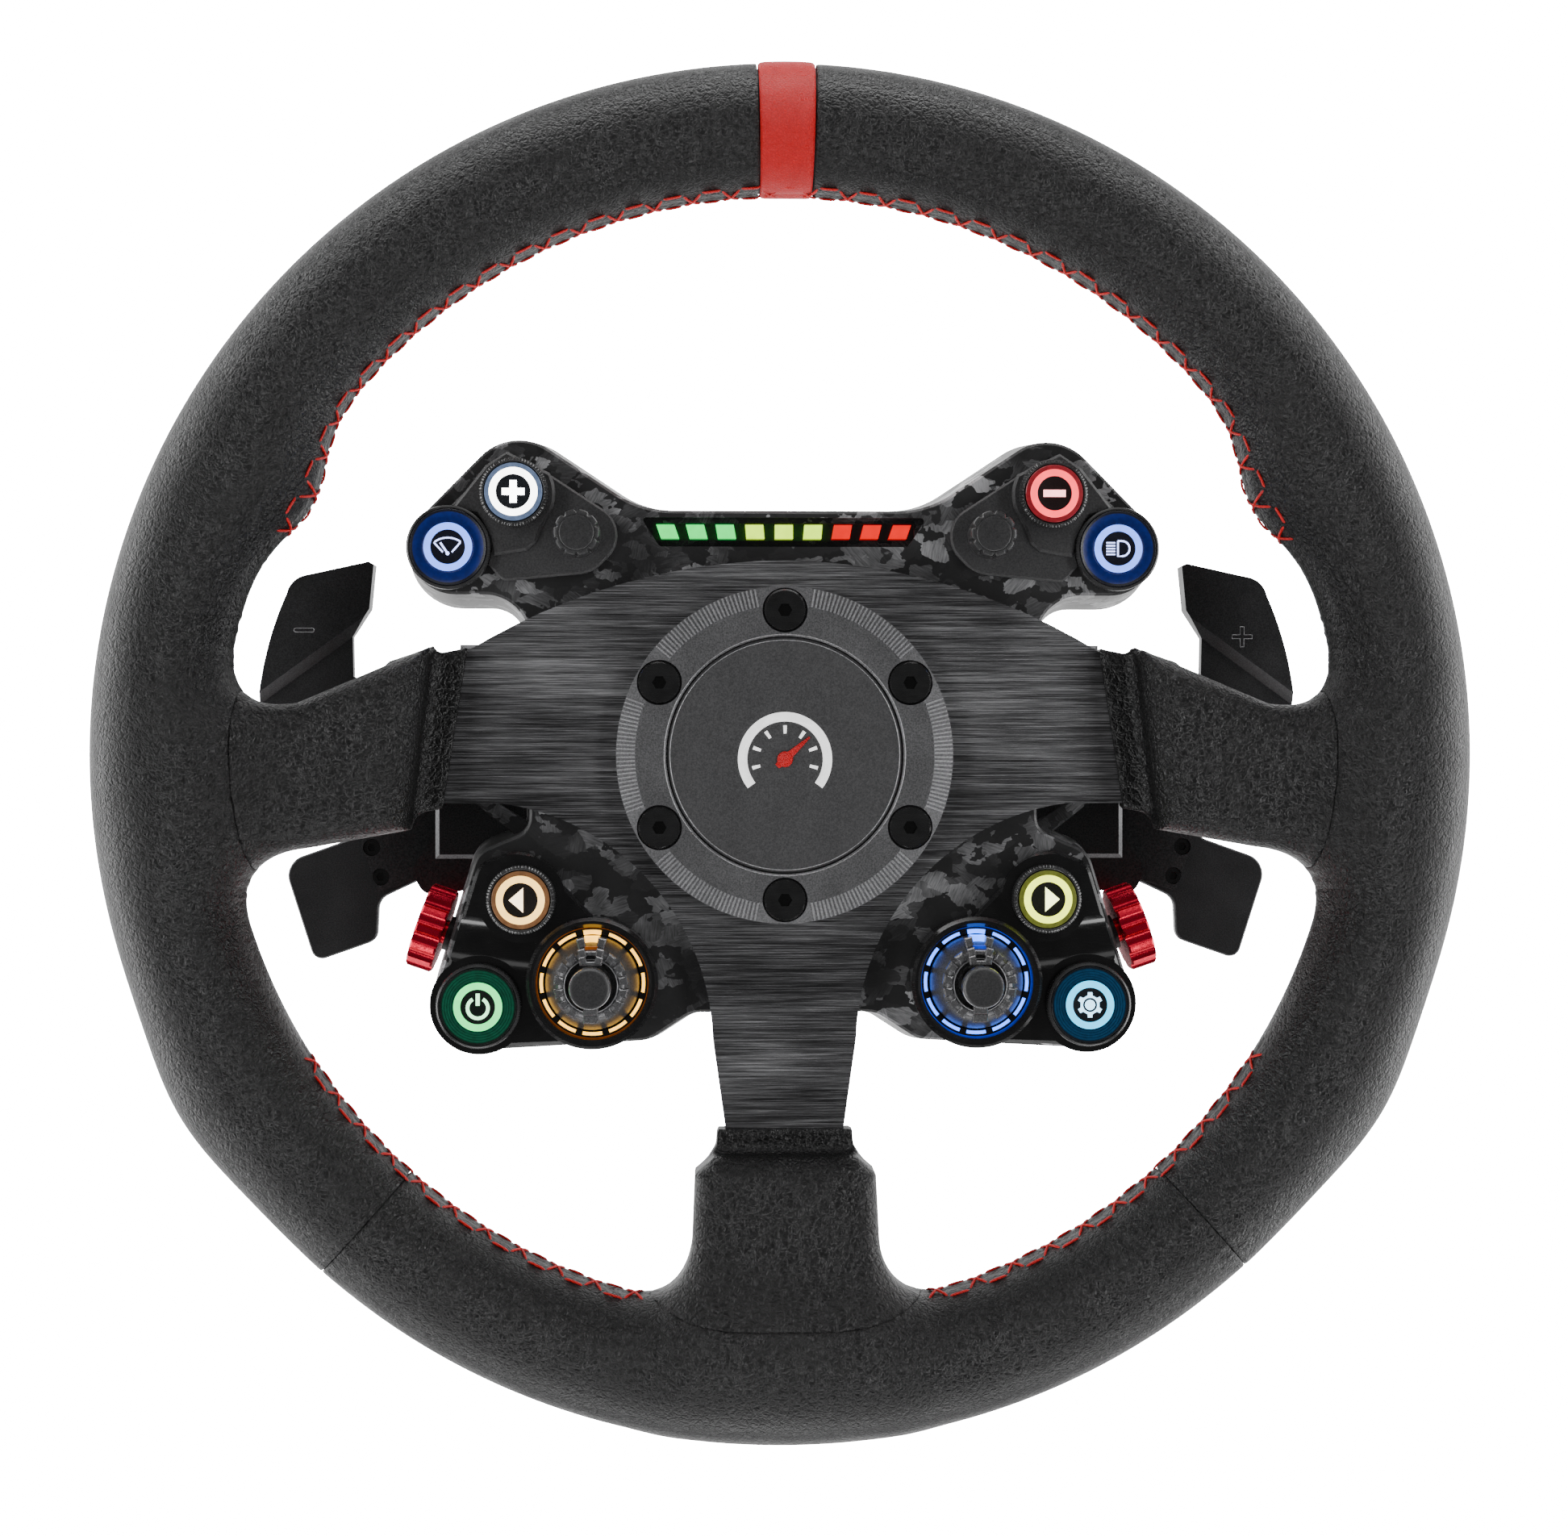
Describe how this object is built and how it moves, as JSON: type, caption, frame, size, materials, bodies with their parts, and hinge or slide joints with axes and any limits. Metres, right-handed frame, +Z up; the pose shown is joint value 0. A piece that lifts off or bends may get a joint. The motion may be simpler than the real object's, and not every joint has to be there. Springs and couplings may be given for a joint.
{
  "type": "racing simulator steering wheel",
  "caption": "Round leather-covered steering wheel on a three-spoke plate, with lit buttons, rotary joysticks and sprung shift and clutch paddles behind the rim.",
  "frame": {"origin": "centre of the hub boss's rear mounting face, on the wheel's axis", "axes": "+Y out of the rear face towards the wheel base, so the driver looks along +Y; +Z up through the stripe at the top of the rim; +X to the driver's right"},
  "size_m": [0.33, 0.078, 0.3302],
  "materials": {
    "leather_black": "smooth, fine grain",
    "leather_red": "smooth",
    "foam": "polyurethane foam",
    "brushed_black": "black anodised, brushed across",
    "satin_black": "black anodised, fine bead blast",
    "hub_black": "black anodised",
    "screw_black": "black, glossy",
    "forged_carbon": "chopped carbon in clear lacquer",
    "moulded_black": "fine texture",
    "gloss_black": "gloss",
    "badge_grey": "smooth satin",
    "board": "solder resist",
    "contact_brass": "bright",
    "switch_black": "moulded",
    "smoked_lens": "smoked",
    "light_green": "lit",
    "knurled_black": "black anodised, knurled",
    "cap_white": "lit, clear",
    "cap_red": "lit, clear",
    "cap_blue": "lit, clear",
    "cap_amber": "lit, clear",
    "cap_yellow": "lit, clear",
    "cap_green": "lit, clear",
    "cap_cyan": "lit, clear",
    "ring_amber": "lit",
    "ring_blue": "lit",
    "dial_black": "satin metallic",
    "knob_black": "satin",
    "anodised_red": "red anodised",
    "paddle_black": "black, bevelled edges",
    "steel": "ground",
    "magnet": "nickel plated"
  },
  "bodies": {
    "wheel": {"badge_cap": "badge_grey", "button_switches": "switch_black", "carbon_shell": "forged_carbon", "centre_stripe": "leather_red", "circuit_boards": "board", "connector": "contact_brass", "cover_screws": "screw_black", "encoder_bodies": "switch_black", "hub_boss": "hub_black", "hub_ring": "satin_black", "hub_screws": "screw_black", "joystick_bezels": "gloss_black", "joystick_light_ring_left": "ring_amber", "joystick_light_ring_right": "ring_blue", "knurled_bezels": "knurled_black", "lower_panels": "gloss_black", "paddle_magnets": "magnet", "paddle_pins": "steel", "rear_cover": "moulded_black", "rev_lights": "light_green", "rev_window": "smoked_lens", "ribbed_bezels": "knurled_black", "rim_foam": "foam", "rim_leather": "leather_black", "shifter_bases": "hub_black", "spoke_boots": "leather_black", "spoke_plate": "brushed_black", "upper_panels": "moulded_black"},
    "button_plus": {"button_plus": "cap_white"},
    "button_minus": {"button_minus": "cap_red"},
    "button_wiper": {"button_wiper": "cap_blue"},
    "button_headlight": {"button_headlight": "cap_blue"},
    "button_arrow_left": {"button_arrow_left": "cap_amber"},
    "button_arrow_right": {"button_arrow_right": "cap_yellow"},
    "button_power": {"button_power": "cap_green"},
    "button_settings": {"button_settings": "cap_cyan"},
    "thumb_plunger_left": {"thumb_sleeve_left": "steel"},
    "thumb_knob_left": {"thumb_knob_left": "knob_black"},
    "joystick_dial_left": {"rotary_dial_left": "dial_black"},
    "joystick_plunger_left": {"joystick_plunger_left": "steel"},
    "joystick_gimbal_left": {"joystick_gimbal_left": "steel"},
    "joystick_stick_left": {"joystick_cap_left": "knob_black"},
    "side_knob_left": {"side_knob_left": "anodised_red"},
    "shift_paddle_left": {"shift_lever_left": "hub_black", "shift_blade_left": "paddle_black"},
    "clutch_paddle_left": {"clutch_lever_left": "hub_black", "clutch_blade_left": "paddle_black", "clutch_screws_left": "screw_black"},
    "thumb_plunger_right": {"thumb_sleeve_right": "steel"},
    "thumb_knob_right": {"thumb_knob_right": "knob_black"},
    "joystick_dial_right": {"rotary_dial_right": "dial_black"},
    "joystick_plunger_right": {"joystick_plunger_right": "steel"},
    "joystick_gimbal_right": {"joystick_gimbal_right": "steel"},
    "joystick_stick_right": {"joystick_cap_right": "knob_black"},
    "side_knob_right": {"side_knob_right": "anodised_red"},
    "shift_paddle_right": {"shift_lever_right": "hub_black", "shift_blade_right": "paddle_black"},
    "clutch_paddle_right": {"clutch_lever_right": "hub_black", "clutch_blade_right": "paddle_black", "clutch_screws_right": "screw_black"}
  },
  "joints": [
    {"name": "button_plus_press", "type": "slide", "parent": "wheel", "child": "button_plus", "axis": [0, 1, 0], "range_m": [0, 0.0012], "stiffness_N_per_m": 1500, "springref_m": -0.0005},
    {"name": "button_minus_press", "type": "slide", "parent": "wheel", "child": "button_minus", "axis": [0, 1, 0], "range_m": [0, 0.0012], "stiffness_N_per_m": 1500, "springref_m": -0.0005},
    {"name": "button_wiper_press", "type": "slide", "parent": "wheel", "child": "button_wiper", "axis": [0, 1, 0], "range_m": [0, 0.0012], "stiffness_N_per_m": 1500, "springref_m": -0.0005},
    {"name": "button_headlight_press", "type": "slide", "parent": "wheel", "child": "button_headlight", "axis": [0, 1, 0], "range_m": [0, 0.0012], "stiffness_N_per_m": 1500, "springref_m": -0.0005},
    {"name": "button_arrow_left_press", "type": "slide", "parent": "wheel", "child": "button_arrow_left", "axis": [0, 1, 0], "range_m": [0, 0.0012], "stiffness_N_per_m": 1500, "springref_m": -0.0005},
    {"name": "button_arrow_right_press", "type": "slide", "parent": "wheel", "child": "button_arrow_right", "axis": [0, 1, 0], "range_m": [0, 0.0012], "stiffness_N_per_m": 1500, "springref_m": -0.0005},
    {"name": "button_power_press", "type": "slide", "parent": "wheel", "child": "button_power", "axis": [0, 1, 0], "range_m": [0, 0.0012], "stiffness_N_per_m": 1500, "springref_m": -0.0005},
    {"name": "button_settings_press", "type": "slide", "parent": "wheel", "child": "button_settings", "axis": [0, 1, 0], "range_m": [0, 0.0012], "stiffness_N_per_m": 1500, "springref_m": -0.0005},
    {"name": "thumb_press_left", "type": "slide", "parent": "wheel", "child": "thumb_plunger_left", "axis": [0, 1, 0], "range_m": [0, 0.0008], "stiffness_N_per_m": 2000, "springref_m": -0.0005},
    {"name": "thumb_turn_left", "type": "hinge", "parent": "thumb_plunger_left", "child": "thumb_knob_left", "pos_m": [-0.05, -0.062, 0.0531], "axis": [0, 1, 0], "continuous": true},
    {"name": "dial_turn_left", "type": "hinge", "parent": "wheel", "child": "joystick_dial_left", "pos_m": [-0.0465, -0.057, -0.055], "axis": [0, 1, 0], "continuous": true},
    {"name": "joystick_press_left", "type": "slide", "parent": "wheel", "child": "joystick_plunger_left", "axis": [0, 1, 0], "range_m": [0, 0.0006], "stiffness_N_per_m": 2500, "springref_m": -0.0004},
    {"name": "joystick_up_down_left", "type": "hinge", "parent": "joystick_plunger_left", "child": "joystick_gimbal_left", "pos_m": [-0.0465, -0.05, -0.055], "axis": [1, 0, 0], "range_deg": [-8, 8], "stiffness_Nm_per_rad": 0.2},
    {"name": "joystick_left_right_left", "type": "hinge", "parent": "joystick_gimbal_left", "child": "joystick_stick_left", "pos_m": [-0.0465, -0.05, -0.055], "axis": [0, 0, 1], "range_deg": [-8, 8], "stiffness_Nm_per_rad": 0.2},
    {"name": "side_knob_turn_left", "type": "hinge", "parent": "wheel", "child": "side_knob_left", "pos_m": [-0.0867, -0.0395, -0.0427], "axis": [-0.9455, 0, 0.3256], "continuous": true},
    {"name": "shift_left", "type": "hinge", "parent": "wheel", "child": "shift_paddle_left", "pos_m": [-0.083, -0.012, 0.013], "axis": [0, 0, 1], "range_deg": [0, 4.5], "stiffness_Nm_per_rad": 2, "springref_deg": -5.73},
    {"name": "clutch_left", "type": "hinge", "parent": "wheel", "child": "clutch_paddle_left", "pos_m": [-0.083, -0.012, -0.011], "axis": [0, 0, 1], "range_deg": [0, 18], "stiffness_Nm_per_rad": 0.6, "springref_deg": -8.59},
    {"name": "thumb_press_right", "type": "slide", "parent": "wheel", "child": "thumb_plunger_right", "axis": [0, 1, 0], "range_m": [0, 0.0008], "stiffness_N_per_m": 2000, "springref_m": -0.0005},
    {"name": "thumb_turn_right", "type": "hinge", "parent": "thumb_plunger_right", "child": "thumb_knob_right", "pos_m": [0.05, -0.062, 0.0531], "axis": [0, 1, 0], "continuous": true},
    {"name": "dial_turn_right", "type": "hinge", "parent": "wheel", "child": "joystick_dial_right", "pos_m": [0.0465, -0.057, -0.055], "axis": [0, 1, 0], "continuous": true},
    {"name": "joystick_press_right", "type": "slide", "parent": "wheel", "child": "joystick_plunger_right", "axis": [0, 1, 0], "range_m": [0, 0.0006], "stiffness_N_per_m": 2500, "springref_m": -0.0004},
    {"name": "joystick_up_down_right", "type": "hinge", "parent": "joystick_plunger_right", "child": "joystick_gimbal_right", "pos_m": [0.0465, -0.05, -0.055], "axis": [1, 0, 0], "range_deg": [-8, 8], "stiffness_Nm_per_rad": 0.2},
    {"name": "joystick_left_right_right", "type": "hinge", "parent": "joystick_gimbal_right", "child": "joystick_stick_right", "pos_m": [0.0465, -0.05, -0.055], "axis": [0, 0, 1], "range_deg": [-8, 8], "stiffness_Nm_per_rad": 0.2},
    {"name": "side_knob_turn_right", "type": "hinge", "parent": "wheel", "child": "side_knob_right", "pos_m": [0.0867, -0.0395, -0.0427], "axis": [0.9455, 0, 0.3256], "continuous": true},
    {"name": "shift_right", "type": "hinge", "parent": "wheel", "child": "shift_paddle_right", "pos_m": [0.083, -0.012, 0.013], "axis": [0, 0, -1], "range_deg": [0, 4.5], "stiffness_Nm_per_rad": 2, "springref_deg": -5.73},
    {"name": "clutch_right", "type": "hinge", "parent": "wheel", "child": "clutch_paddle_right", "pos_m": [0.083, -0.012, -0.011], "axis": [0, 0, -1], "range_deg": [0, 18], "stiffness_Nm_per_rad": 0.6, "springref_deg": -8.59}
  ]
}
